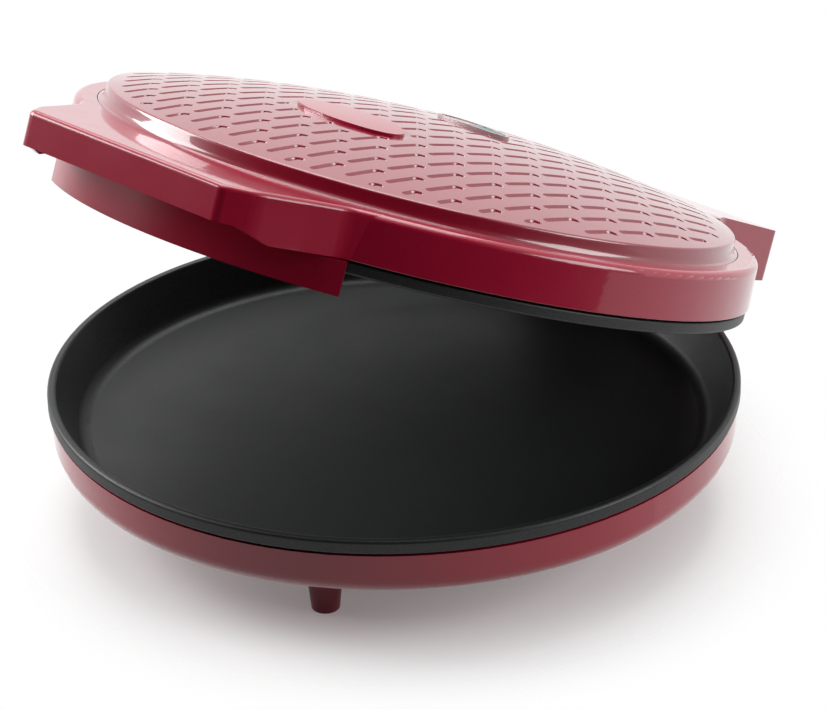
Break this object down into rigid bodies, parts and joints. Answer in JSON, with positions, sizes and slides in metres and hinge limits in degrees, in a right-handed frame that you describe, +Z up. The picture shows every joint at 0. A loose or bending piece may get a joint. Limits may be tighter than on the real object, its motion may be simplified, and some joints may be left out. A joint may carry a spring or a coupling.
{
  "type": "electric pizza maker",
  "caption": "Round countertop pizza cooker: low bowl base on four feet with a dark coated pan, and a domed lid with front handle on a rear hinge.",
  "frame": {"origin": "on the table, under the centre of the pan", "axes": "+Z up, -Y towards the handle at the front, +Y towards the hinge at the rear, +X to the right seen from the front"},
  "size_m": [0.321, 0.3703, 0.2246],
  "materials": {
    "red_enamel": "glossy dark red lacquer",
    "pan_coating": "dark grey non-stick coating, satin",
    "zinc_steel": "zinc-plated",
    "element_sheath": "dark oxidised steel tube",
    "bright_aluminium": "bright sheet",
    "red_foot": "satin dark red",
    "black_plastic": "matte black",
    "white_ceramic": "unglazed ceramic",
    "badge_lacquer": "glossy dark red lacquer",
    "grey_bezel": "glossy grey",
    "red_lens": "translucent, glossy",
    "green_lens": "translucent, glossy",
    "neon_glass": "clear glass"
  },
  "bodies": {
    "base": {"lower_housing": "red_enamel", "lower_plate": "pan_coating", "foot_front_left": "red_foot", "foot_front_right": "red_foot", "foot_rear_left": "red_foot", "foot_rear_right": "red_foot", "plate_screws": "zinc_steel", "foot_screws": "zinc_steel", "bracket_screws": "zinc_steel", "lower_element": "element_sheath", "lower_reflector": "bright_aluminium", "lower_thermostat": "white_ceramic", "thermal_fuse": "white_ceramic", "terminal_block": "white_ceramic", "cord_gland": "black_plastic", "hinge_bracket_left": "zinc_steel", "hinge_bracket_right": "zinc_steel", "hinge_pin_left": "zinc_steel", "hinge_pin_right": "zinc_steel"},
    "lid": {"lid_shell": "red_enamel", "lid_disk": "red_enamel", "lid_disk_screws": "zinc_steel", "handle_skirt": "red_enamel", "upper_plate": "pan_coating", "upper_element": "element_sheath", "upper_reflector": "bright_aluminium", "upper_thermostat": "white_ceramic", "lid_terminal_block": "white_ceramic", "lid_plate_screws": "zinc_steel", "badge_plate": "badge_lacquer", "lamp_bezel": "grey_bezel", "power_lens": "red_lens", "ready_lens": "green_lens", "lamp_holder": "black_plastic", "power_lamp": "neon_glass", "ready_lamp": "neon_glass"}
  },
  "joints": [
    {"name": "lid_hinge", "type": "hinge", "parent": "base", "child": "lid", "pos_m": [0, 0.181, 0.072], "axis": [-1, 0, 0], "range_deg": [-21.9, 73.1]}
  ]
}
